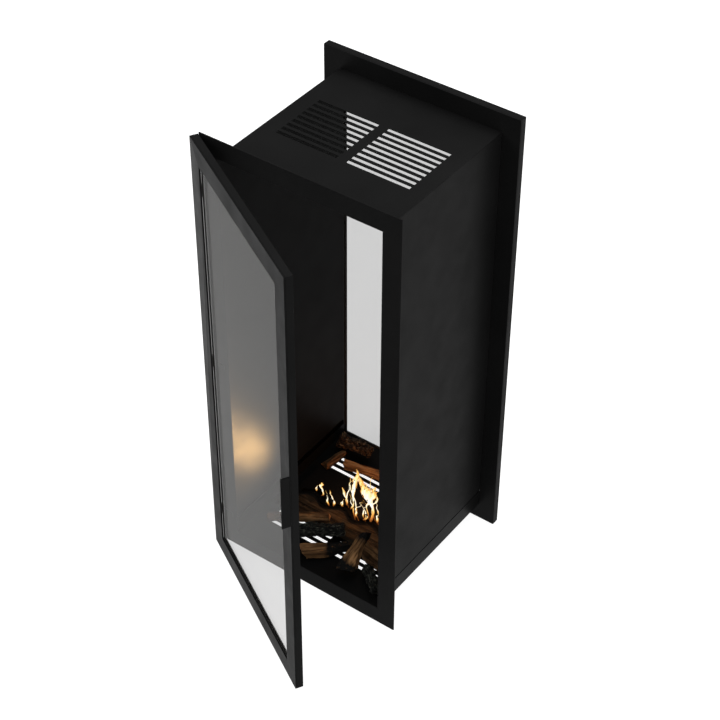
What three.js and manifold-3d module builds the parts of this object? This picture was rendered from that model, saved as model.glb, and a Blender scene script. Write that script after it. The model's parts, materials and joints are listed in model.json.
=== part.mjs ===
// A tall see-through built-in fire: a steel box between two flange plates, with a hinged glass
// door in front, a fixed window behind, and a burner with a set of logs on its floor.
// Millimetres, +Z up, +Y from the door to the rear window.
// The origin is the middle of the front plate's lower edge.
import * as THREE from "three";
import { mergeVertices } from "three/addons/utils/BufferGeometryUtils.js";
import Module from "manifold-3d";

const wasm = await Module();
wasm.setup();

// ---- Driving dimensions ----
const GAP = 0.3; // left between pieces that rest on each other
const HEIGHT = 1200;
const WIDTH = 514;
const PLATE = 3; // flange plates, door frame and window frame
const SHEET = 2; // panels, trays and brackets
const DEPTH = 427; // between the two flange plates
const OPENING_X = 210; // half the fire opening's width
const OPENING_Z = 48; // from a plate's outer edge to the opening, at the top and the bottom

const PLATE_BACK = PLATE / 2;
const REAR_PLATE = PLATE_BACK + DEPTH;
const THROUGH = [-PLATE_BACK, REAR_PLATE + PLATE]; // the tray and the side sheets pass through both plates
const BETWEEN = [PLATE_BACK + GAP, REAR_PLATE - GAP]; // the top panel hangs between them
const FLOOR = OPENING_Z; // upper side of the fire's floor
const CEILING = HEIGHT - OPENING_Z;
const TRAY_TOP = 90;
const GROOVE = 3; // between the tray's wall and the side panel
const LAP = 5; // how far a lap strip covers the tray's wall and the side panel

const SLOT = { length: 160, width: 9.5, pitch: 18, middle: 12 }; // middle: half the bar between two banks
const TOP_SLOTS = { rows: 9, first: 150 };
const FLOOR_SLOTS = { rows: 3, pitch: 19, front: 79, rear: 318 };

const FRAME_BORDER = 49; // face of the door frame and of the window frame
const DOOR = { depth: 19.4, gap: 4, edge: 1.5, openAtRest: 30 };
const WINDOW = { depth: 16 };
const GLASS = { thick: 4, lap: 12, tape: 0.9, tapeWidth: 10, tapeFromEdge: 1.5 };
const BAR = { width: 12, clear: 0.5 }; // clamps a pane to its frame

const HINGE = { x: -253.2, y: -5.6, half: 15, heights: [108, 583, 1058] };
const KNUCKLE = { radius: 3.5, pin: 1.75, bore: 1.83, head: 1.8 };
const LEAF = { plate: 31, door: 13 };
const NOTCH = { below: 18.5, above: 16 }; // room for a hinge in the door's edge band
const PULL = { length: 145, middle: 604.5, proud: 20, foot: 21, footLength: 103 };
const SCREW = { fromEdge: 14, spacing: 90, shank: 2, hole: 2.5, head: 4.5, headHeight: 2.2 };
const MAGNET = { width: 20, height: 40, fromEdge: 12, toPlate: 0.4, heights: [250, 950] };

const BURNER = { halfWidth: 180, front: 157, rear: 290, height: 8, lip: 3, slot: 14, slotHalf: 165 };
const BOARD = { halfWidth: 195, front: 127, joint: 155, top: 66 };
const WAVE = { middle: 195, swing: 9, period: 90, crest: -37 };

// ---- Materials ----
function paint(color, roughness, metalness) {
  return new THREE.MeshStandardMaterial({ color, roughness, metalness });
}
const blackCoat = paint(0x1b1b1b, 0.45, 0.3);
const fireSteel = paint(0x17130f, 0.4, 0.5);
const bareSteel = paint(0x8c8c8c, 0.35, 0.9);
const tapeFibre = paint(0x3a3a38, 0.95, 0);
const magnetCase = paint(0x202020, 0.6, 0);
const boardCeramic = paint(0x6b4526, 0.85, 0);
const bark = paint(0x3d2a1c, 0.95, 0);
const splitWood = paint(0x9a6a3c, 0.85, 0);
const char = paint(0x1a1a1a, 0.98, 0);
const glass = paint(0xd0d0d0, 0.05, 0);
glass.transparent = true;
glass.opacity = 0.3;

// ---- Solids ----
function toSolid(geometry) {
  const bare = geometry.clone();
  bare.deleteAttribute("normal");
  bare.deleteAttribute("uv");
  const merged = mergeVertices(bare);
  const vertProperties = merged.attributes.position.array;
  const triVerts = Uint32Array.from(merged.index.array);
  return new wasm.Manifold(new wasm.Mesh({ numProp: 3, vertProperties, triVerts }));
}

function toGeometry(solid) {
  const { vertProperties, triVerts } = solid.getMesh();
  const shared = new THREE.BufferGeometry();
  shared.setAttribute("position", new THREE.BufferAttribute(vertProperties, 3));
  shared.setIndex(new THREE.BufferAttribute(triVerts, 1));
  const flat = shared.toNonIndexed();
  flat.computeVertexNormals();
  return flat;
}

function join(...geometries) {
  return toGeometry(geometries.map(toSolid).reduce((a, b) => a.add(b)));
}

function cut(geometry, ...tools) {
  return toGeometry(tools.map(toSolid).reduce((rest, tool) => rest.subtract(tool), toSolid(geometry)));
}

function block([x0, x1], [y0, y1], [z0, z1]) {
  const box = new THREE.BoxGeometry(x1 - x0, y1 - y0, z1 - z0);
  return box.translate((x0 + x1) / 2, (y0 + y1) / 2, (z0 + z1) / 2);
}

function rectangle([u0, u1], [v0, v1], kind = THREE.Shape) {
  return new kind([
    new THREE.Vector2(u0, v0),
    new THREE.Vector2(u1, v0),
    new THREE.Vector2(u1, v1),
    new THREE.Vector2(u0, v1),
  ]);
}

// A shape drawn in X and Z, made thick along Y from y to y + thickness.
function standing(shape, y, thickness) {
  const made = new THREE.ExtrudeGeometry(shape, { depth: thickness, bevelEnabled: false });
  return made.rotateX(Math.PI / 2).translate(0, y + thickness, 0);
}

// A shape drawn in X and Y, made thick along Z from z to z + thickness.
function lying(shape, z, thickness) {
  return new THREE.ExtrudeGeometry(shape, { depth: thickness, bevelEnabled: false }).translate(0, 0, z);
}

// An upright rectangular ring: outer and inner are { x: half width, z: [low, high] }.
function ring(outer, inner, y, thickness) {
  const shape = rectangle([-outer.x, outer.x], outer.z);
  shape.holes.push(rectangle([-inner.x, inner.x], inner.z, THREE.Path));
  return standing(shape, y, thickness);
}

function inset(edge, by) {
  return { x: edge.x - by, z: [edge.z[0] + by, edge.z[1] - by] };
}

function upright(radius, x, y, [z0, z1], sides = 24) {
  const rod = new THREE.CylinderGeometry(radius, radius, z1 - z0, sides);
  return rod.rotateX(Math.PI / 2).translate(x, y, (z0 + z1) / 2);
}

function alongY(radius, x, z, [y0, y1], sides = 20) {
  return new THREE.CylinderGeometry(radius, radius, y1 - y0, sides).translate(x, (y0 + y1) / 2, z);
}

function ordered(a, b) {
  return [Math.min(a, b), Math.max(a, b)];
}

const stove = new THREE.Group();

function place(parent, name, geometry, material) {
  const mesh = new THREE.Mesh(geometry, material);
  mesh.name = name;
  parent.add(mesh);
  return mesh;
}

// ---- Flange plates and casing ----
const plateEdge = { x: WIDTH / 2, z: [0, HEIGHT] };
const fireOpening = { x: OPENING_X, z: [OPENING_Z, HEIGHT - OPENING_Z] };
const plateOpening = { x: OPENING_X + SHEET + GAP, z: [FLOOR - SHEET - GAP, CEILING] };
place(stove, "front_plate", ring(plateEdge, plateOpening, -PLATE_BACK, PLATE), blackCoat);
place(stove, "rear_plate", ring(plateEdge, plateOpening, REAR_PLATE, PLATE), blackCoat);

// Cutters for rows of slots, two in each row, through a sheet that lies at z.
function slotRows(firstY, rows, pitch, z) {
  const cutters = [];
  for (let row = 0; row < rows; row += 1) {
    const y = firstY + row * pitch;
    for (const side of [-1, 1]) {
      const x = ordered(side * SLOT.middle, side * (SLOT.middle + SLOT.length));
      cutters.push(block(x, [y - SLOT.width / 2, y + SLOT.width / 2], [z - SHEET, z + 2 * SHEET]));
    }
  }
  return cutters;
}

function topPanel() {
  const sheet = block([-OPENING_X - SHEET, OPENING_X + SHEET], BETWEEN, [CEILING, CEILING + SHEET]);
  return cut(sheet, ...slotRows(TOP_SLOTS.first, TOP_SLOTS.rows, SLOT.pitch, CEILING));
}

function baseTray() {
  const floor = block([-OPENING_X - SHEET, OPENING_X + SHEET], THROUGH, [FLOOR - SHEET, FLOOR]);
  const walls = [-1, 1].map((side) => sideSheet(side, OPENING_X, [FLOOR - SHEET, TRAY_TOP]));
  const { rows, pitch, front, rear } = FLOOR_SLOTS;
  const banks = [front, rear].flatMap((first) => slotRows(first, rows, pitch, FLOOR - SHEET));
  return cut(join(floor, ...walls), ...banks);
}

// An upright sheet on one side of the fire, from x inner outwards.
function sideSheet(side, inner, z) {
  return block(ordered(side * inner, side * (inner + SHEET)), THROUGH, z);
}

place(stove, "top_panel", topPanel(), blackCoat);
place(stove, "base_tray", baseTray(), fireSteel);
for (const [name, side] of [["left", -1], ["right", 1]]) {
  const panel = sideSheet(side, OPENING_X, [TRAY_TOP + GROOVE, CEILING - GAP]);
  place(stove, `${name}_side_panel`, panel, blackCoat);
  const lap = sideSheet(side, OPENING_X - SHEET - GAP, [TRAY_TOP - LAP, TRAY_TOP + GROOVE + LAP]);
  place(stove, `${name}_lap_strip`, lap, fireSteel);
}

// ---- Glazing shared by the door and the rear window ----
// face is the frame's inner edge, and y the glass side of its face; inward is +1 if the fire is towards +Y.
function glazing(parent, name, face, y, inward) {
  const tapeOuter = inset(face, GLASS.tapeFromEdge - GLASS.lap);
  const tapeInner = inset(tapeOuter, GLASS.tapeWidth);
  const tapeNear = y + inward * GAP;
  const glassNear = tapeNear + inward * (GLASS.tape + GAP);
  const low = (near, thick) => Math.min(near, near + inward * thick);
  const tape = ring(tapeOuter, tapeInner, low(tapeNear, GLASS.tape), GLASS.tape);
  place(parent, `${name}_glass_tape`, tape, tapeFibre);
  const pane = inset(face, -GLASS.lap);
  const outline = rectangle([-pane.x, pane.x], pane.z);
  const sheet = standing(outline, low(glassNear, GLASS.thick), GLASS.thick);
  place(parent, `${name}_glass`, sheet, glass);
  return glassNear + inward * GLASS.thick;
}

// Four bars that clamp a pane to its frame; clear is the edge of the opening they leave.
function clampBars(parent, name, clear, y, material) {
  const [low, high] = clear.z;
  const across = [-clear.x + GAP, clear.x - GAP];
  const tall = [low - BAR.width, high + BAR.width];
  place(parent, `${name}_clamp_bar_left`, block([-clear.x - BAR.width, -clear.x], y, tall), material);
  place(parent, `${name}_clamp_bar_right`, block([clear.x, clear.x + BAR.width], y, tall), material);
  place(parent, `${name}_clamp_bar_bottom`, block(across, y, [low - BAR.width, low]), material);
  place(parent, `${name}_clamp_bar_top`, block(across, y, [high, high + BAR.width]), material);
}

// ---- Rear window: a flat frame on an edge band over the rear plate ----
function rearWindow() {
  const front = REAR_PLATE + PLATE + GAP;
  const faceFront = front + WINDOW.depth - PLATE;
  const inner = inset(plateEdge, FRAME_BORDER);
  place(stove, "rear_window_frame", ring(plateEdge, inner, faceFront, PLATE), blackCoat);
  const band = ring(plateEdge, inset(plateEdge, PLATE), front, faceFront - GAP - front);
  place(stove, "rear_window_edge_band", band, blackCoat);
  const glassInside = glazing(stove, "rear", inner, faceFront, -1);
  clampBars(stove, "rear", inset(fireOpening, -BAR.clear), [front, glassInside - GAP], fireSteel);
}
rearWindow();

// ---- Burner: an open trough under a cover with a wavy slot ----
function waveY(x) {
  return WAVE.middle + WAVE.swing * Math.cos((2 * Math.PI * (x - WAVE.crest)) / WAVE.period);
}

// Points along the wave, moved back by offset, from x = from to x = to.
function wavePoints(from, to, offset) {
  const steps = Math.round(Math.abs(to - from) / 6);
  const points = [];
  for (let i = 0; i <= steps; i += 1) {
    const x = from + ((to - from) * i) / steps;
    points.push(new THREE.Vector2(x, waveY(x) + offset));
  }
  return points;
}

function burner() {
  const x = [-BURNER.halfWidth, BURNER.halfWidth];
  const y = [BURNER.front, BURNER.rear];
  const low = FLOOR + GAP;
  const top = low + BURNER.height;
  const hollowX = [x[0] + SHEET, x[1] - SHEET];
  const hollowY = [y[0] + SHEET, y[1] - SHEET];
  const trough = cut(block(x, y, [low, top]), block(hollowX, hollowY, [low + SHEET, top + 1]));
  place(stove, "burner_trough", trough, fireSteel);
  const cover = rectangle(x, y);
  const nearSide = wavePoints(-BURNER.slotHalf, BURNER.slotHalf, BURNER.lip);
  const farSide = wavePoints(BURNER.slotHalf, -BURNER.slotHalf, BURNER.lip + BURNER.slot);
  cover.holes.push(new THREE.Path([...nearSide, ...farSide]));
  place(stove, "burner_cover", lying(cover, top + GAP, SHEET), fireSteel);
  return top + GAP + SHEET;
}

// Two ceramic strips in front of the flames; the rear one ends in the wave.
function hearthBoard(coverTop) {
  const { halfWidth, front, joint, top } = BOARD;
  const strip = block([-halfWidth, halfWidth], [front, joint - GAP], [FLOOR + GAP, top]);
  place(stove, "hearth_board_front", strip, boardCeramic);
  const outline = [
    new THREE.Vector2(-BURNER.halfWidth, joint),
    new THREE.Vector2(BURNER.halfWidth, joint),
    ...wavePoints(BURNER.halfWidth, -BURNER.halfWidth, 0),
  ];
  const low = coverTop + GAP;
  place(stove, "hearth_board_rear", lying(new THREE.Shape(outline), low, top - low), boardCeramic);
}
hearthBoard(burner());

// ---- Logs ----
// Cross-sections in width and height, each from -0.5 to 0.5, anticlockwise.
function arc(from, to, steps, centre, radius) {
  const points = [];
  for (let i = 0; i <= steps; i += 1) {
    const a = from + ((to - from) * i) / steps;
    points.push([centre[0] + radius * Math.cos(a), centre[1] + radius * Math.sin(a)]);
  }
  return points;
}
const SECTIONS = {
  round: arc(0, 2 * Math.PI * (13 / 14), 13, [0, 0], 0.5),
  half: [[-0.5, -0.4], ...arc(-0.2, Math.PI + 0.2, 9, [0, 0], 0.5).map(([w, h]) => [w, h * 0.9 - 0.02])],
  quarter: [[-0.5, -0.5], ...arc(0, Math.PI / 2, 6, [-0.5, -0.5], 1)],
  wedge: [[-0.5, -0.5], [0.42, -0.5], [0.5, -0.3], [0.34, 0.5], [-0.2, 0.4], [-0.46, 0.1]],
  leaning: [[-0.5, -0.5], [0.2, -0.5], [0.5, -0.05], [0.5, 0.3], [0.05, 0.5], [-0.42, 0.38]],
  sloped: [[-0.5, -0.5], [-0.1, -0.5], [0.5, 0], [0.5, 0.5], [0.2, 0.44], [-0.42, -0.16]],
};

// Bends and swells a straight log a little, so that no side stays flat or parallel.
// slant cuts the ends askew: how far each end is drawn back for each unit of width and of height.
function roughen(geometry, { length, width, height, taper, slant, seed }) {
  const position = geometry.attributes.position;
  for (let i = 0; i < position.count; i += 1) {
    const along = position.getX(i) / length;
    const size = 1 + (taper - 1) * (along + 0.5) + 0.05 * Math.sin(9 * along + seed);
    const bend = 0.06 * Math.sin(4 * along + 2 * seed);
    const ridge = 0.03 * Math.sin(7 * Math.atan2(position.getZ(i), position.getY(i)) + 5 * along + seed);
    const drawn = slant[0] * position.getY(i) + slant[1] * position.getZ(i);
    position.setX(i, position.getX(i) - drawn);
    position.setY(i, position.getY(i) * (size + ridge) + bend * width);
    position.setZ(i, position.getZ(i) * (size + ridge) + bend * height * 0.3);
  }
  geometry.computeVertexNormals();
  return geometry;
}

function addLog(name, material, section, [x, y, z], size, turn) {
  const [length, width, height] = size;
  const corners = SECTIONS[section].map(([w, h]) => new THREE.Vector2(w * width, h * height));
  const shape = new THREE.Shape(corners);
  const straight = new THREE.ExtrudeGeometry(shape, { depth: length, steps: 8, bevelEnabled: false });
  straight.translate(0, 0, -length / 2);
  const axes = [new THREE.Vector3(0, 1, 0), new THREE.Vector3(0, 0, 1), new THREE.Vector3(1, 0, 0)];
  straight.applyMatrix4(new THREE.Matrix4().makeBasis(...axes));
  const { yaw = 0, pitch = 0, taper = 0.94, slant = [0, 0] } = turn;
  const log = roughen(straight, { length, width, height, taper, slant, seed: name.length });
  const mesh = place(stove, name, log, material);
  mesh.position.set(x, y, z);
  const radians = THREE.MathUtils.degToRad;
  mesh.rotation.set(0, -radians(pitch), radians(yaw), "ZYX");
}

addLog("rear_bark_log", bark, "round", [-140, 392, 74], [94, 46, 48], { taper: 0.84 });
addLog("rear_split_log", splitWood, "wedge", [-36, 352.5, 61], [200, 25, 23], { yaw: 10.6, slant: [0, 0.3] });
addLog("rear_left_split_log", splitWood, "quarter", [-166, 334, 62], [68, 24, 24], { yaw: 75 });
addLog("rear_right_bark_log", bark, "half", [136, 355, 70], [110, 46, 40], { yaw: 62 });
addLog("left_split_log", splitWood, "wedge", [-104, 106, 77], [156, 24, 20], { yaw: 30, pitch: 7 });
addLog("front_bark_log", char, "round", [-38, 91, 80], [140, 42, 43], { yaw: 36, pitch: 7 });
addLog("front_split_log", splitWood, "wedge", [10, 69, 67], [121, 38, 33], {
  yaw: 44,
  taper: 0.62,
  slant: [0, 0.5],
});
addLog("leaning_split_log", splitWood, "leaning", [87, 81, 93], [104, 48, 30], {
  yaw: 94,
  pitch: 37,
  taper: 0.45,
  slant: [0.25, 0],
});
addLog("right_split_log", splitWood, "sloped", [118, 108, 72.5], [80, 26, 44], { yaw: -14 });
addLog("front_right_bark_log", char, "round", [157, 49, 67.5], [78, 35, 36], { yaw: -37 });

// ---- Door, built closed and turned about its hinge axis ----
const door = new THREE.Group();
door.position.set(HINGE.x, HINGE.y, 0);
door.rotation.z = -THREE.MathUtils.degToRad(DOOR.openAtRest);
stove.add(door);
const closedDoor = new THREE.Group();
closedDoor.position.set(-HINGE.x, -HINGE.y, 0);
door.add(closedDoor);

const DOOR_BACK = -PLATE_BACK - DOOR.gap;
const DOOR_FRONT = DOOR_BACK - DOOR.depth;
const doorEdge = { x: WIDTH / 2, z: [DOOR.edge, HEIGHT - DOOR.edge] };
const doorFace = inset(doorEdge, FRAME_BORDER);
const screwX = WIDTH / 2 - SCREW.fromEdge;
const screwHeights = [-1, 1].map((side) => PULL.middle + (side * SCREW.spacing) / 2);
const holeY = [DOOR_FRONT - 2 * PLATE, DOOR_FRONT + 2 * PLATE];
const screwHoles = screwHeights.map((z) => alongY(SCREW.hole, screwX, z, holeY));

// The band runs round behind the face, with a notch for each hinge.
function doorBand() {
  const front = DOOR_FRONT + PLATE + GAP;
  const band = ring(doorEdge, inset(doorEdge, PLATE), front, DOOR_BACK - front);
  const outside = -WIDTH / 2;
  const notches = HINGE.heights.map((z) => {
    const x = [outside - 1, outside + PLATE + 0.5];
    return block(x, [DOOR_BACK - 5, DOOR_BACK + 1], [z - NOTCH.below, z + NOTCH.above]);
  });
  return cut(band, ...notches);
}
const doorPlate = cut(ring(doorEdge, doorFace, DOOR_FRONT, PLATE), ...screwHoles);
place(closedDoor, "door_frame", doorPlate, blackCoat);
place(closedDoor, "door_edge_band", doorBand(), blackCoat);
const doorGlassInside = glazing(closedDoor, "door", doorFace, DOOR_FRONT + PLATE, 1);
const strip = [doorGlassInside + GAP, doorGlassInside + GAP + SHEET];
clampBars(closedDoor, "door", inset(doorFace, -BAR.clear), strip, bareSteel);

// ---- Lift-off hinges: the lower half on the front plate with the pin, the upper half on the door ----
HINGE.heights.forEach((z, i) => {
  const lower = [z - HINGE.half, z - GAP / 2];
  const upper = [z + GAP / 2, z + HINGE.half];
  const onAxis = (radius, span) => upright(radius, HINGE.x, HINGE.y, span);
  const bore = onAxis(KNUCKLE.bore, [z - 2 * HINGE.half, z + 2 * HINGE.half]);
  const leafFront = -PLATE_BACK - GAP - SHEET;
  const plateLeaf = block([HINGE.x, HINGE.x + LEAF.plate], [leafFront, leafFront + SHEET], lower);
  const plateHalf = cut(join(onAxis(KNUCKLE.radius, lower), plateLeaf), bore);
  place(stove, `hinge_plate_half_${i + 1}`, plateHalf, blackCoat);
  const leafX = -WIDTH / 2 + PLATE + GAP;
  const leafBack = HINGE.y - KNUCKLE.bore;
  const doorLeaf = block([leafX, leafX + SHEET], [leafBack - LEAF.door, leafBack], upper);
  const doorHalf = cut(join(onAxis(KNUCKLE.radius, upper), doorLeaf), bore);
  place(closedDoor, `hinge_door_half_${i + 1}`, doorHalf, blackCoat);
  const headTop = lower[0] - GAP;
  const head = onAxis(KNUCKLE.radius - GAP, [headTop - KNUCKLE.head, headTop]);
  const shank = onAxis(KNUCKLE.pin, [headTop - KNUCKLE.head / 2, upper[1] - GAP]);
  place(stove, `hinge_pin_${i + 1}`, join(head, shank), bareSteel);
});

// ---- Edge pull on the free stile, with its two screws ----
function edgePull() {
  const span = (length) => [PULL.middle - length / 2, PULL.middle + length / 2];
  const onFace = DOOR_FRONT - GAP;
  const fin = block([WIDTH / 2 - PLATE, WIDTH / 2], [DOOR_FRONT - PULL.proud, onFace], span(PULL.length));
  const foot = block([WIDTH / 2 - PULL.foot, WIDTH / 2], [onFace - PLATE, onFace], span(PULL.footLength));
  return cut(join(fin, foot), ...screwHoles);
}
place(closedDoor, "door_pull", edgePull(), blackCoat);
screwHeights.forEach((z, i) => {
  const seat = DOOR_FRONT - GAP - PLATE - GAP;
  const head = alongY(SCREW.head, screwX, z, [seat - SCREW.headHeight, seat]);
  const shank = alongY(SCREW.shank, screwX, z, [seat - SCREW.headHeight / 2, DOOR_FRONT + 2 * PLATE]);
  place(closedDoor, `pull_screw_${i + 1}`, join(head, shank), bareSteel);
});

// ---- Magnets in the free stile, which hold the closed door to the front plate ----
MAGNET.heights.forEach((z, i) => {
  const x = WIDTH / 2 - MAGNET.fromEdge;
  const y = [DOOR_FRONT + PLATE + GAP, -PLATE_BACK - MAGNET.toPlate];
  const magnet = block([x - MAGNET.width, x], y, [z - MAGNET.height / 2, z + MAGNET.height / 2]);
  place(closedDoor, `door_magnet_${i + 1}`, magnet, magnetCase);
});

export default stove;
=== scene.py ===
"""The looks of a tall see-through built-in fire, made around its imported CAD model.

Metres, +Z up, +Y to the rear.
"""

import json
import math
import random

import bmesh
import bpy
from mathutils import Matrix, Vector, noise


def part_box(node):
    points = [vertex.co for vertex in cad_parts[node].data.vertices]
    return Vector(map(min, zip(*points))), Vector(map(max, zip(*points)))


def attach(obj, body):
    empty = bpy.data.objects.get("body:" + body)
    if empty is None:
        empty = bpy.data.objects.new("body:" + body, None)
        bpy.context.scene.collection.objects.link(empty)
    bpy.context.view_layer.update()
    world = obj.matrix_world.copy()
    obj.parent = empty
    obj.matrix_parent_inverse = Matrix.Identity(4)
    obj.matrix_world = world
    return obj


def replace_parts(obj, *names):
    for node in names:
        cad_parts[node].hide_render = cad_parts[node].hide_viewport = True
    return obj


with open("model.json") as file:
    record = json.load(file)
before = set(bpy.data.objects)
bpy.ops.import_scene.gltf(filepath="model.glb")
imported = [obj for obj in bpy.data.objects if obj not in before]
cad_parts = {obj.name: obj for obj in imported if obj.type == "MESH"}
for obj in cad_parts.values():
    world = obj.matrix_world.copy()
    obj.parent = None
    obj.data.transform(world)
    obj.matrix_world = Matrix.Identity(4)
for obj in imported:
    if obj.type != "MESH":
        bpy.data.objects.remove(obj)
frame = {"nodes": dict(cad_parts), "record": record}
NODES = frame["nodes"]
SLOT_OF = {part["node"]: part["material_slot"] for part in frame["record"]["subparts"]}
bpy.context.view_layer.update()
BODY = "stove_body"
MM = 0.001

# Imported triangles share corners once they are welded over this distance.
WELD = 0.02 * MM
# Rounding of the sharp edges that stay, by material slot.
EDGE_WIDTHS = {
    "black_coat": 0.5 * MM,
    "fire_steel": 0.4 * MM,
    "bare_steel": 0.3 * MM,
    "magnet_case": 1.2 * MM,
}
EDGE_ANGLE = math.radians(40)
# Mesh size of the carved wood.
LOG_VOXEL = 1.4 * MM
BOARD_VOXEL = 1.3 * MM

# The wave at the hearth board's rear edge, as in the CAD model.
BOARD_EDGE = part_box("hearth_board_rear")[1].y
WAVE_SWING = 9 * MM
WAVE_PERIOD = 90 * MM
WAVE_CREST = -37 * MM


# ---- Camera ----
def make_camera():
    aim = Vector((0.034, 0.168, 0.610))
    distance = 4.25
    azimuth = math.radians(35.9)
    elevation = math.radians(40.9)
    roll = math.radians(0.26)
    view_angle = math.radians(21.59)
    level = math.cos(elevation)
    back = Vector((math.sin(azimuth) * level, -math.cos(azimuth) * level, math.sin(elevation)))
    camera = bpy.data.objects.new("camera", bpy.data.cameras.new("camera"))
    camera.data.angle = view_angle
    turn = back.to_track_quat("Z", "Y").to_matrix().to_4x4() @ Matrix.Rotation(roll, 4, "Z")
    camera.matrix_world = Matrix.Translation(aim + back * distance) @ turn
    bpy.context.scene.collection.objects.link(camera)
    bpy.context.scene.camera = camera


# ---- Shader helpers ----
def add(tree, kind, inputs=None, **settings):
    """A shader node: inputs are linked where they are sockets, and set where they are values."""
    node = tree.nodes.new("ShaderNode" + kind)
    for name, value in settings.items():
        setattr(node, name, value)
    for name, value in (inputs or {}).items():
        feed(tree, node, name, value)
    return node


def feed(tree, node, name, value):
    if isinstance(value, bpy.types.NodeSocket):
        tree.links.new(value, node.inputs[name])
    else:
        node.inputs[name].default_value = value


def new_material(name):
    material = bpy.data.materials.new(name)
    material.use_nodes = True
    material.node_tree.nodes.clear()
    return material


def finish_surface(material, surface):
    """Gives a material its one surface shader, with these inputs."""
    tree = material.node_tree
    add(tree, "OutputMaterial", {"Surface": add(tree, "BsdfPrincipled", surface).outputs["BSDF"]})
    return material


def grey(value):
    return (value, value, value, 1.0)


def rgba(color):
    return (*color, 1.0)


def ramp(tree, factor, stops):
    """A colour ramp's output; stops are (position, colour or grey value)."""
    node = add(tree, "ValToRGB", {"Fac": factor})
    while len(node.color_ramp.elements) < len(stops):
        node.color_ramp.elements.new(0.5)
    for element, (position, color) in zip(node.color_ramp.elements, stops):
        element.position = position
        element.color = grey(color) if isinstance(color, (int, float)) else rgba(color)
    return node.outputs["Color"]


def spread(tree, pattern, low, high):
    """A ramp over the middle of a noise pattern, where nearly all its values fall."""
    return ramp(tree, pattern, [(0.3, low), (0.7, high)])


def noise_of(tree, vector, scale=1.0, detail=3.0, roughness=0.5):
    """A noise pattern's factor output."""
    inputs = {"Vector": vector, "Scale": scale, "Detail": detail, "Roughness": roughness}
    return add(tree, "TexNoise", inputs).outputs["Fac"]


def stretched(tree, vector, scale):
    """A vector scaled by a different amount along each axis."""
    return add(tree, "Mapping", {"Vector": vector, "Scale": scale}).outputs["Vector"]


def bump(tree, height, distance):
    return add(tree, "Bump", {"Height": height, "Distance": distance, "Strength": 1.0}).outputs["Normal"]


def calculate(tree, operation, first, second):
    return add(tree, "Math", {0: first, 1: second}, operation=operation).outputs[0]


def mixed(tree, factor, first, second):
    """The first colour where the factor is 0 and the second where it is 1."""
    # A Mix node's colour sockets can only be told apart by number.
    factor_in, first_in, second_in, color_out = 0, 6, 7, 2
    node = add(tree, "Mix", {factor_in: factor, first_in: first, second_in: second}, data_type="RGBA")
    return node.outputs[color_out]


def place_on(tree):
    """Where a point is on its piece."""
    return add(tree, "TexCoord").outputs["Object"]


def stored(tree, name, output="Fac"):
    """A value that the mesh stores at each point."""
    return add(tree, "Attribute", attribute_name=name).outputs[output]


# ---- Materials ----
def coated_steel(name, dark, light, rough, gloss):
    """Heat-proof coating: fine grain, slow changes of tone, and faint rubbed patches."""
    material = new_material(name)
    tree = material.node_tree
    place = place_on(tree)
    clouds = noise_of(tree, place, scale=6.0, detail=4.0)
    patches = noise_of(tree, place, scale=18.0, detail=5.0)
    speckle = noise_of(tree, place, scale=1400.0, detail=2.0)
    return finish_surface(material, {
        "Base Color": spread(tree, clouds, dark, light),
        "Roughness": spread(tree, patches, *rough),
        "Specular IOR Level": gloss,
        "Normal": bump(tree, speckle, 0.06 * MM),
    })


def bare_steel(name, dark, light):
    """Drawn steel with fine lines along it."""
    material = new_material(name)
    tree = material.node_tree
    lines = noise_of(tree, stretched(tree, place_on(tree), (900.0, 900.0, 60.0)))
    return finish_surface(material, {
        "Base Color": spread(tree, lines, dark, light),
        "Roughness": spread(tree, lines, 0.28, 0.42),
        "Metallic": 1.0,
        "Normal": bump(tree, lines, 0.02 * MM),
    })


def ceramic_glass(name, alpha):
    """Clear grey ceramic glass. Each face of a sheet holds back a little light and mirrors a little."""
    material = new_material(name)
    tree = material.node_tree
    waves = noise_of(tree, place_on(tree), scale=9.0, detail=1.0)
    return finish_surface(material, {
        "Base Color": rgba((0.045, 0.042, 0.038)),
        "Roughness": spread(tree, waves, 0.02, 0.05),
        "Alpha": alpha,
    })


def woven_tape():
    """Glass-fibre tape: two crossed sets of threads."""
    material = new_material("tape_fibre")
    tree = material.node_tree
    threads = {"Vector": place_on(tree), "Scale": 320.0}
    across = add(tree, "TexWave", threads, bands_direction="X").outputs["Fac"]
    along = add(tree, "TexWave", threads, bands_direction="Z").outputs["Fac"]
    both = calculate(tree, "MULTIPLY", across, along)
    return finish_surface(material, {
        "Base Color": ramp(tree, both, [(0.1, 0.012), (0.9, 0.045)]),
        "Roughness": 0.9,
        "Normal": bump(tree, both, 0.2 * MM),
    })


def magnet_case():
    """Black moulded plastic with a fine spark-eroded grain."""
    material = new_material("magnet_case")
    tree = material.node_tree
    grain = noise_of(tree, place_on(tree), scale=2600.0, detail=2.0)
    return finish_surface(material, {
        "Base Color": spread(tree, grain, 0.010, 0.018),
        "Roughness": 0.55,
        "Normal": bump(tree, grain, 0.05 * MM),
    })


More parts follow.
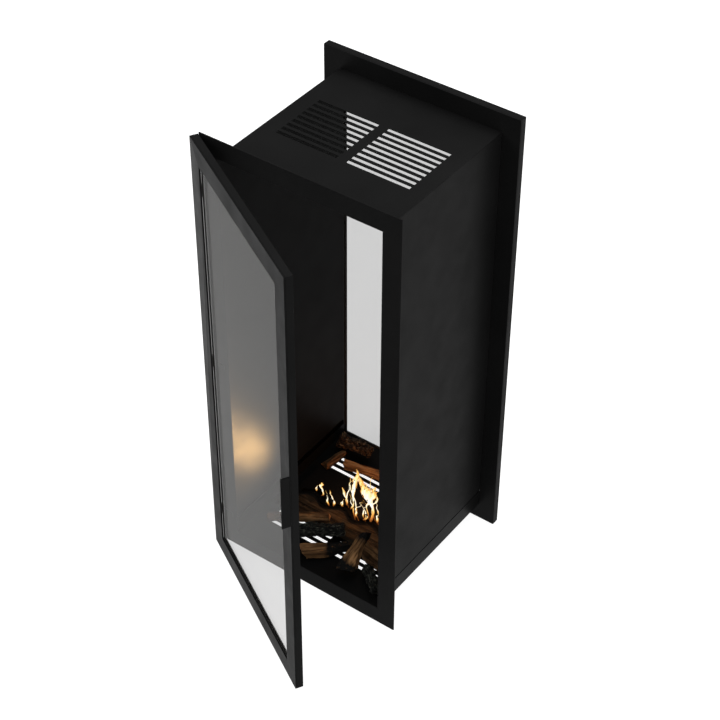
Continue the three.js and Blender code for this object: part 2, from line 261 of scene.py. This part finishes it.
def wood(name, pale, deep, sawn_end):
    """Split wood: long fibres, growth rings on the sawn ends, and soot where the scorch attribute says."""
    material = new_material(name)
    tree = material.node_tree
    place = stored(tree, "grain", "Vector")
    fibres = noise_of(tree, stretched(tree, place, (13.0, 150.0, 150.0)), detail=6.0, roughness=0.62)
    streaks = noise_of(tree, stretched(tree, place, (5.0, 60.0, 60.0)))
    streaked = ramp(tree, streaks, [(0.42, 0.0), (0.64, 0.85)])
    face = mixed(tree, streaked, ramp(tree, fibres, [(0.38, deep), (0.60, pale)]), rgba(deep))
    ring_inputs = {"Vector": stretched(tree, place, (0.0, 1.0, 1.0)), "Scale": 120.0,
                   "Distortion": 3.0, "Detail": 2.0, "Detail Scale": 1.5}
    rings = add(tree, "TexWave", ring_inputs, wave_type="RINGS", rings_direction="X").outputs["Fac"]
    clean = mixed(tree, stored(tree, "end"), face, ramp(tree, rings, [(0.2, sawn_end), (0.8, pale)]))
    flakes = noise_of(tree, place, scale=75.0, detail=5.0, roughness=0.7)
    soot = calculate(tree, "MULTIPLY", stored(tree, "scorch"), flakes)
    sooty = ramp(tree, soot, [(0.08, 0.0), (0.32, 1.0)])
    burnt = ramp(tree, soot, [(0.40, (0.0042, 0.0043, 0.0042)), (0.90, (0.0005, 0.0004, 0.0004))])
    return finish_surface(material, {
        "Base Color": mixed(tree, sooty, clean, burnt),
        "Roughness": 0.85,
        "Specular IOR Level": 0.08,
        "Normal": bump(tree, fibres, 0.9 * MM),
    })


def bark(name, ridge, furrow, fleck):
    """Bark or char: dark furrows between plates, with pale flecks of fibre and ash."""
    material = new_material(name)
    tree = material.node_tree
    place = stored(tree, "grain", "Vector")
    clumps = noise_of(tree, stretched(tree, place, (90.0, 150.0, 150.0)), detail=4.0, roughness=0.62)
    cracks = noise_of(tree, stretched(tree, place, (90.0, 320.0, 320.0)), detail=5.0, roughness=0.65)
    base = ramp(tree, clumps, [(0.40, furrow), (0.53, ridge), (0.64, fleck)])
    cracked = ramp(tree, cracks, [(0.40, 0.75), (0.60, 0.0)])
    return finish_surface(material, {
        "Base Color": mixed(tree, cracked, base, rgba(furrow)),
        "Roughness": 0.9,
        "Specular IOR Level": 0.2,
        "Normal": bump(tree, calculate(tree, "ADD", clumps, cracks), 1.2 * MM),
    })


def flame_material():
    """Flames are cream at the heart and orange at the rim, and thin out to nothing at the root."""
    material = new_material("flame")
    tree = material.node_tree
    place = place_on(tree)
    tongue = add(tree, "SeparateXYZ", {"Vector": stored(tree, "tongue", "Vector")})
    heart, rise = tongue.outputs["X"], tongue.outputs["Y"]
    wisps = noise_of(tree, stretched(tree, place, (210.0, 210.0, 45.0)))
    swirl = calculate(tree, "MULTIPLY", wisps, 0.9)
    lit = calculate(tree, "MULTIPLY", heart, ramp(tree, rise, [(0.05, 0.35), (0.40, 1.0)]))
    warmth = calculate(tree, "MULTIPLY", calculate(tree, "ADD", lit, swirl), 0.55)
    color = ramp(tree, warmth, [(0.24, (0.25, 0.06, 0.012)), (0.40, (0.72, 0.22, 0.04)),
                                (0.52, (1.0, 0.56, 0.12)), (0.62, (1.0, 0.84, 0.42)),
                                (0.74, (1.0, 0.95, 0.80))])
    root = ramp(tree, rise, [(0.0, 0.25), (0.3, 1.0)])
    rim = ramp(tree, warmth, [(0.20, 0.10), (0.42, 0.95)])
    holes = noise_of(tree, stretched(tree, place, (150.0, 150.0, 70.0)), detail=2.0)
    torn = ramp(tree, holes, [(0.40, 0.0), (0.47, 1.0)])
    whole = calculate(tree, "MULTIPLY", root, rim)
    return finish_surface(material, {
        "Base Color": grey(0.0),
        "Roughness": 1.0,
        "Specular IOR Level": 0.0,
        "Emission Color": color,
        "Emission Strength": 1.25,
        "Alpha": calculate(tree, "MULTIPLY", whole, torn),
    })


MATERIALS = {
    "black_coat": coated_steel("black_coat", dark=0.0052, light=0.0070, rough=(0.36, 0.46), gloss=0.020),
    "fire_steel": coated_steel("fire_steel", dark=0.0036, light=0.0056, rough=(0.28, 0.38), gloss=0.022),
    "bare_steel": bare_steel("bare_steel", dark=0.34, light=0.52),
    "ceramic_glass": ceramic_glass("ceramic_glass", alpha=0.25),
    "tape_fibre": woven_tape(),
    "magnet_case": magnet_case(),
    "board_ceramic": wood("board_ceramic", pale=(0.058, 0.039, 0.020), deep=(0.012, 0.0082, 0.0045),
                          sawn_end=(0.025, 0.013, 0.006)),
    "bark": bark("bark", ridge=(0.052, 0.030, 0.015), furrow=(0.003, 0.002, 0.0012),
                 fleck=(0.17, 0.11, 0.06)),
    "split_wood": wood("split_wood", pale=(0.29, 0.155, 0.066), deep=(0.045, 0.022, 0.009),
                       sawn_end=(0.13, 0.07, 0.032)),
    "char": bark("char", ridge=(0.014, 0.0155, 0.012), furrow=(0.001, 0.001, 0.001),
                 fleck=(0.075, 0.078, 0.062)),
}
# Nodes that look a little different from the rest of their slot.
DULL_STRIP = bare_steel("dull_clamp_strip", dark=0.13, light=0.19)
# Painted shade: the lap strips behind the side grooves get a near-black, matt coat, so that the shallow
# grooves read as dark shadow lines.
PAINTED_SHADE_GROOVE = coated_steel("painted_shade_groove", dark=0.0006, light=0.0009, rough=(0.80, 0.90), gloss=0.0)
VARIANTS = {"rear_glass": ceramic_glass("rear_ceramic_glass", alpha=0.31)}
for side in ("left", "right"):
    VARIANTS[f"{side}_lap_strip"] = PAINTED_SHADE_GROOVE
for side in ("left", "right", "bottom", "top"):
    VARIANTS[f"door_clamp_bar_{side}"] = DULL_STRIP
FLAME = flame_material()


# ---- CAD nodes that stay ----
def add_weld(piece):
    weld = piece.modifiers.new("weld", "WELD")
    weld.merge_threshold = WELD


def soften_edges(node, width):
    """Welds the imported triangles and rounds the sharp edges by width."""
    add_weld(node)
    edge = node.modifiers.new("soft_edges", "BEVEL")
    edge.width = width
    edge.segments = 2
    edge.limit_method = "ANGLE"
    edge.angle_limit = EDGE_ANGLE


def dress_nodes():
    for name, slot in SLOT_OF.items():
        node = NODES[name]
        node.data.materials.clear()
        node.data.materials.append(VARIANTS.get(name, MATERIALS[slot]))
        if slot in EDGE_WIDTHS:
            soften_edges(node, EDGE_WIDTHS[slot])


# ---- New pieces ----
def link(piece, body):
    if piece.name not in bpy.context.scene.collection.objects:
        bpy.context.scene.collection.objects.link(piece)
    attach(piece, body)
    return piece


def remeshed(name, source, voxel):
    """A copy of a CAD node's shape as an even, fine mesh."""
    piece = bpy.data.objects.new(name, source.data.copy())
    bpy.context.scene.collection.objects.link(piece)
    add_weld(piece)
    skin = piece.modifiers.new("skin", "REMESH")
    skin.mode = "VOXEL"
    skin.voxel_size = voxel
    bpy.context.view_layer.update()
    fine = bpy.data.meshes.new_from_object(piece.evaluated_get(bpy.context.evaluated_depsgraph_get()))
    piece.modifiers.clear()
    piece.data = fine
    return piece


def own_axes(points):
    """A piece's middle and its own axes: along its length, across it, and up."""
    first_guess = Vector((1.0, 0.3, 0.1))
    steps = 60
    middle = sum(points, Vector()) / len(points)
    scatter = Matrix(((0, 0, 0), (0, 0, 0), (0, 0, 0)))
    for point in points:
        away = point - middle
        for row in range(3):
            for column in range(3):
                scatter[row][column] += away[row] * away[column]
    along = first_guess
    for _ in range(steps):
        along = (scatter @ along).normalized()
    across = Vector((0, 0, 1)).cross(along).normalized()
    return middle, along, across, along.cross(across)


def in_wood(point, middle, axes):
    """A point's place along the grain, across it and up."""
    away = point - middle
    return Vector([away.dot(axis) for axis in axes])


def write_grain(mesh, middle, axes, seed, scorch):
    """Stores each point's place in the wood, how much it faces along the grain, and its scorching."""
    for attribute_name, kind in (("grain", "FLOAT_VECTOR"), ("end", "FLOAT"), ("scorch", "FLOAT")):
        mesh.attributes.new(attribute_name, kind, "POINT")
    # Looked up only now, because a new attribute can move the ones made before it.
    grain = mesh.attributes["grain"]
    end = mesh.attributes["end"]
    burnt = mesh.attributes["scorch"]
    # Each piece is cut from another part of the pattern.
    offset = Vector((seed * 3.7, seed * 1.9, 0.0)) * 0.02
    # A face is a sawn end from this much along the grain, and wholly so after the blend.
    end_starts, end_blend = 0.6, 0.3
    for vertex in mesh.vertices:
        local = in_wood(vertex.co, middle, axes)
        grain.data[vertex.index].vector = local + offset
        facing = abs(vertex.normal.dot(axes[0]))
        end.data[vertex.index].value = min(max((facing - end_starts) / end_blend, 0.0), 1.0)
        burnt.data[vertex.index].value = scorch(local)


def carve(mesh, middle, axes, shift, shape):
    """Moves each point inwards along its normal by what shape says for its place in the wood."""
    moves = []
    for vertex in mesh.vertices:
        local = in_wood(vertex.co, middle, axes) + Vector((shift, 0.0, 0.0))
        moves.append(vertex.normal * -shape(local))
    for vertex, move in zip(mesh.vertices, moves):
        vertex.co += move


def dress_wood(piece, node, slot):
    """Gives a carved piece its material and slot, and puts it in its node's place."""
    piece.data.shade_smooth()
    piece.data.materials.clear()
    piece.data.materials.append(MATERIALS[slot])
    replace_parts(link(piece, BODY), node)


# ---- Logs ----
def relief(local, along, across, lift=0.0):
    """Noise in the wood, with so many waves per metre along the grain and across it."""
    return noise.noise(Vector((local.x * along, local.y * across, local.z * across + lift)))


def fibre_shape(local):
    """Depth of the splintered grooves on split wood."""
    mean_depth = 0.0022
    long_grooves = 0.0032 * relief(local, along=9, across=120)
    torn_ridges = 0.0022 * abs(relief(local, along=16, across=230, lift=4.0))
    splinters = 0.0008 * relief(local, along=50, across=400)
    broad_waves = 0.0022 * relief(local, along=26, across=45)
    return max(0.0, mean_depth + long_grooves - torn_ridges + splinters + broad_waves)


def bark_shape(local):
    """Depth of the furrows between plates of bark, which the fire has cracked across."""
    mean_depth = 0.0026
    furrow_width = 0.42
    warp = 0.35 * noise.noise(local * 60)
    plates = Vector((local.x * 48 + warp, local.y * 85 + warp, local.z * 85))
    nearest, second = noise.voronoi(plates)[0][:2]
    furrows = 0.0052 * (1.0 - min((second - nearest) / furrow_width, 1.0)) ** 1.4
    fall_off, step_between_octaves, octaves = 1.0, 2.0, 3
    scaled = Vector((local.x * 110, local.y * 210, local.z * 210))
    roughness = 0.0018 * noise.fractal(scaled, fall_off, step_between_octaves, octaves)
    broad_waves = 0.0040 * relief(local, along=24, across=44)
    return max(0.0, mean_depth + furrows + roughness + broad_waves)


def even_scorch(amount):
    """The same scorching all over a log."""
    return lambda local: amount


def growing_scorch(base, past_start, per_metre, most):
    """Scorching that grows past the place where it starts."""
    return min(base + max(0.0, past_start) * per_metre, most)


def one_end_scorch(local):
    """Charred from just short of the middle to one end."""
    return growing_scorch(base=0.18, past_start=local.x + 12 * MM, per_metre=34, most=0.74)


def both_ends_scorch(local):
    """Clean in the middle and charred towards both ends."""
    return growing_scorch(base=0.20, past_start=abs(local.x) - 22 * MM, per_metre=32, most=0.72)


# Each log: its material, how its surface is carved, and how scorched it is at a place in the wood.
LOGS = {
    "rear_bark_log": ("bark", bark_shape, even_scorch(0.0)),
    "rear_right_bark_log": ("bark", bark_shape, even_scorch(0.0)),
    "front_bark_log": ("char", bark_shape, even_scorch(0.0)),
    "front_right_bark_log": ("char", bark_shape, even_scorch(0.0)),
    "rear_split_log": ("split_wood", fibre_shape, even_scorch(0.14)),
    "rear_left_split_log": ("split_wood", fibre_shape, even_scorch(0.38)),
    "left_split_log": ("split_wood", fibre_shape, even_scorch(0.26)),
    "front_split_log": ("split_wood", fibre_shape, one_end_scorch),
    "leaning_split_log": ("split_wood", fibre_shape, both_ends_scorch),
    "right_split_log": ("split_wood", fibre_shape, even_scorch(0.34)),
}


def make_logs():
    for seed, (node, (slot, shape, scorch)) in enumerate(LOGS.items()):
        piece = remeshed(node.replace("_log", "_log_wood"), NODES[node], LOG_VOXEL)
        middle, *axes = own_axes([vertex.co.copy() for vertex in NODES[node].data.vertices])
        # Every log's grain runs rearwards, so that its two ends can be told apart.
        if axes[0].y < 0:
            axes[0], axes[1] = -axes[0], -axes[1]
        carve(piece.data, middle, axes, seed * 0.37, shape)
        write_grain(piece.data, middle, axes, seed, scorch)
        dress_wood(piece, node, slot)


# ---- Hearth board ----
def wave_y(x):
    """The rear edge of the hearth board over x, in metres."""
    return BOARD_EDGE - WAVE_SWING + WAVE_SWING * math.cos(2 * math.pi * (x - WAVE_CREST) / WAVE_PERIOD)


def board_shape(local):
    """Depth of the sawn grain, pores and knots pressed into the hearth board."""
    mean_depth = 0.0004
    pit_level = 0.35
    lines = 0.0005 * noise.noise(Vector((local.x * 14, local.y * 230, local.z * 90)))
    pits = 0.0045 * max(0.0, noise.noise(Vector((local.x * 60, local.y * 160, 3.0))) - pit_level)
    return mean_depth + lines + pits


def board_scorch(centre):
    """Scorching that follows the board's wavy edge, for a strip of board with this centre."""
    charred_width = 16 * MM
    all_over = 0.30
    added_at_edge = 2.6

    def scorch(local):
        from_flames = wave_y(centre.x + local.x) - (centre.y + local.y)
        return all_over + added_at_edge * max(0.0, 1.0 - from_flames / charred_width)

    return scorch


def make_boards():
    axes = [Vector((1, 0, 0)), Vector((0, 1, 0)), Vector((0, 0, 1))]
    for seed, node in enumerate(("hearth_board_front", "hearth_board_rear")):
        low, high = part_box(node)
        middle = (low + high) / 2
        piece = remeshed(node.replace("board_", "board_plank_"), NODES[node], BOARD_VOXEL)
        carve(piece.data, middle, axes, 5.0 + seed, board_shape)
        write_grain(piece.data, middle, axes, seed + 20, board_scorch(middle))
        dress_wood(piece, node, "board_ceramic")


# ---- Flames ----
# Each tongue: its place along the burner, its place behind the board's wave, height, width, lean and curl in
# millimetres, and its head, from 0 for a blade to 1 for a torch that is widest high up.
TONGUES = [
    (-132, 12, 16, 8, 1, 3, 0.0),
    (-112, 10, 40, 11, 4, 12, 0.8),
    (-74, 3, 42, 6, -11, 6, 0.0),
    (-67, 7, 42, 10, -6, 8, 0.3),
    (-49, 9, 20, 12, 2, 3, 0.0),
    (-43, 16, 46, 10, -5, 8, 0.8),
    (-33, 12, 98, 6, 0, 14, 0.2),
    (-26, 12, 44, 5, 4, 10, 0.0),
    (4, 6, 165, 15, -6, 14, 0.9),
    (1, 8, 128, 6, -12, 12, 0.2),
    (13, 8, 66, 7, -4, 18, 0.0),
    (21, 13, 58, 8, 5, 20, 0.0),
    (28, 9, 60, 6, -5, 16, 0.0),
    (38, 10, 118, 36, -20, 20, 1.0),
    (34, 14, 116, 16, 4, 18, 0.9),
    (38, 8, 146, 6, 4, 14, 0.3),
    (47, 14, 96, 10, -3, 16, 0.3),
    (54, 10, 80, 7, 4, 14, 0.0),
    (61, 9, 44, 8, -6, 12, 0.0),
]
# The tongues on the right third of the burner are drawn at random: their places along it, and the spans of
# their other six values, in the order above.
RANDOM_PLACES = range(74, 160, 9)
RANDOM_SPANS = [(7, 15), (35, 110), (7, 16), (-8, 8), (5, 15), (0, 0.6)]
SEED = 7
TONGUE_RINGS = 26
TONGUE_SIDES = 12
TONGUE_FLATNESS = 0.38
THINNEST_HALF = 0.2 * MM


def tongue_half(rise, width, head):
    """Half of a tongue's width at a share of its height."""
    blade_root, torch_stem_width, torch_stem_end = 0.35, 0.16, 0.35
    swell = math.sin(math.pi * min(rise * 1.6, 1.0) ** 0.8)
    blade = (blade_root + (1 - blade_root) * swell) * (1 - rise) ** 0.65
    past_stem = min(max((rise - torch_stem_end) / (1 - torch_stem_end), 0.0), 1.0)
    bulb = max(0.0, math.sin(math.pi * past_stem ** 1.3))
    torch = torch_stem_width + (1 - torch_stem_width) * bulb
    return width / 2 * ((1 - head) * blade + head * torch) + THINNEST_HALF


def tongue_middle(rise, lean, curl, seed):
    """How far a tongue's middle is off its root, sideways and to the rear, at a share of its height."""
    wander = noise.noise(Vector((seed * 5.3, rise * 4.5, 0.0))) * curl
    bow = 0.5 * curl * math.sin(math.pi * 1.7 * rise) * (1 if seed % 2 else -1)
    sideways = lean * rise ** 1.4 + bow + wander * rise
    rearwards = noise.noise(Vector((seed * 2.1, 7.0, rise * 3.0))) * curl * 0.5 * rise
    return sideways, rearwards


def tongue_ring(form, layer, rise, height, half, middle, seed):
    """One ring of points round a tongue, which store how near the flame's heart they are and their rise."""
    twist = 0.5 * noise.noise(Vector((seed, 3.0, rise * 2.0)))
    glow = 0.55 + 0.45 * math.sin(math.pi * min(rise * 1.08, 1.0))
    ring = []
    for side in range(TONGUE_SIDES):
        angle = 2 * math.pi * side / TONGUE_SIDES
        ragged = 1 + 0.35 * noise.noise(Vector((math.cos(angle) * 1.5 + seed, rise * 9, math.sin(angle))))
        flat = math.cos(angle) * half * ragged
        deep = math.sin(angle) * half * TONGUE_FLATNESS * ragged
        x = middle[0] + flat * math.cos(twist) - deep * math.sin(twist)
        y = middle[1] + flat * math.sin(twist) + deep * math.cos(twist)
        vertex = form.verts.new((x, y, height * rise))
        vertex[layer] = (abs(math.sin(angle)) ** 0.6 * glow, rise, 0)
        ring.append(vertex)
    return ring


def tongue_mesh(name, height, width, lean, curl, head, seed):
    """A closed, flat tongue of flame on its root."""
    form = bmesh.new()
    layer = form.verts.layers.float_vector.new("tongue")
    rings = []
    for step in range(TONGUE_RINGS + 1):
        rise = step / TONGUE_RINGS
        half = tongue_half(rise, width, head)
        middle = tongue_middle(rise, lean, curl, seed)
        rings.append(tongue_ring(form, layer, rise, height, half, middle, seed))
    for below, above in zip(rings, rings[1:]):
        for side in range(TONGUE_SIDES):
            after = (side + 1) % TONGUE_SIDES
            form.faces.new((below[side], below[after], above[after], above[side]))
    form.faces.new(list(reversed(rings[0])))
    form.faces.new(rings[-1])
    for face in form.faces:
        face.smooth = True
    mesh = bpy.data.meshes.new(name)
    form.to_mesh(mesh)
    form.free()
    return mesh


def make_flames():
    chance = random.Random(SEED)
    tongues = list(TONGUES)
    for x in RANDOM_PLACES:
        tongues.append((x, *(chance.uniform(low, high) for low, high in RANDOM_SPANS)))
    above_cover = 1.0 * MM
    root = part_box("burner_cover")[1].z + above_cover
    up_to_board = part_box("hearth_board_rear")[1].z - root
    for index, (x, behind, height, width, lean, curl, head) in enumerate(tongues):
        name = f"flame_{index + 1}"
        tall = height * MM + up_to_board
        mesh = tongue_mesh(name, tall, width * MM, lean * MM, curl * MM, head, index)
        mesh.materials.append(FLAME)
        piece = bpy.data.objects.new(name, mesh)
        piece.location = (x * MM, wave_y(x * MM) + behind * MM, root)
        link(piece, BODY)


# ---- Studio ----
def add_lamp(name, kind, place, power, color=(1, 1, 1), target=None, **settings):
    """A lamp at a place, turned to its target if it has one."""
    lamp = bpy.data.lights.new(name, kind)
    lamp.energy = power
    lamp.color = color
    for key, value in settings.items():
        setattr(lamp, key, value)
    holder = bpy.data.objects.new(name, lamp)
    holder.location = place
    if target is not None:
        holder.rotation_euler = (Vector(place) - Vector(target)).to_track_quat("Z", "Y").to_euler()
    bpy.context.scene.collection.objects.link(holder)
    return holder


def make_floor():
    half = 20.0
    # Just under the part, so that the two never share a plane.
    level = -0.5 * MM
    mesh = bpy.data.meshes.new("floor")
    corners = [(-half, -half, level), (half, -half, level), (half, half, level), (-half, half, level)]
    mesh.from_pydata(corners, [], [(0, 1, 2, 3)])
    mesh.materials.append(finish_surface(new_material("floor"), {
        "Base Color": grey(0.30),
        "Roughness": 0.9,
        "Specular IOR Level": 0.0,
        "Emission Color": grey(1.0),
        "Emission Strength": 0.92,
    }))
    floor = bpy.data.objects.new("floor", mesh)
    bpy.context.scene.collection.objects.link(floor)


def make_world():
    world = bpy.data.worlds.new("studio")
    world.use_nodes = True
    background = world.node_tree.nodes["Background"]
    background.inputs["Color"].default_value = grey(1.0)
    background.inputs["Strength"].default_value = 0.55
    bpy.context.scene.world = world


def make_studio_lamps():
    middle = (0.0, 0.2, 0.6)
    add_lamp("key", "AREA", (-2.6, -2.2, 3.2), 60.0, target=middle, size=2.0)
    add_lamp("fill", "AREA", (3.2, -1.2, 2.6), 25.0, target=middle, size=2.4)
    add_lamp("top", "AREA", (0.2, 1.2, 4.2), 115.0, target=middle, size=2.5)


def make_fire_light():
    """The light that the flames cast, and the blurred reflection of them on the left panel."""
    fire_glow = add_lamp("fire_glow", "POINT", (0.03, 0.225, 0.15), 1.15, (1.0, 0.38, 0.11),
                         shadow_soft_size=0.03)
    # Otherwise the lamp shows as a bright disc in the open door's glass.
    fire_glow.visible_glossy = False
    wall_glow = add_lamp("wall_glow", "SPOT", (-0.082, 0.192, 0.112), 25.0, (1.0, 0.60, 0.23),
                         target=(-0.210, -0.015, 0.320), spot_size=math.radians(78), spot_blend=1.0,
                         shadow_soft_size=0.045)
    walls = bpy.data.collections.new("walls_that_mirror_the_fire")
    walls.objects.link(NODES["left_side_panel"])
    wall_glow.light_linking.receiver_collection = walls


def make_studio():
    make_floor()
    make_world()
    make_studio_lamps()
    make_fire_light()
    bpy.context.scene.view_settings.view_transform = "Standard"


make_camera()
dress_nodes()
make_logs()
make_boards()
make_flames()
make_studio()
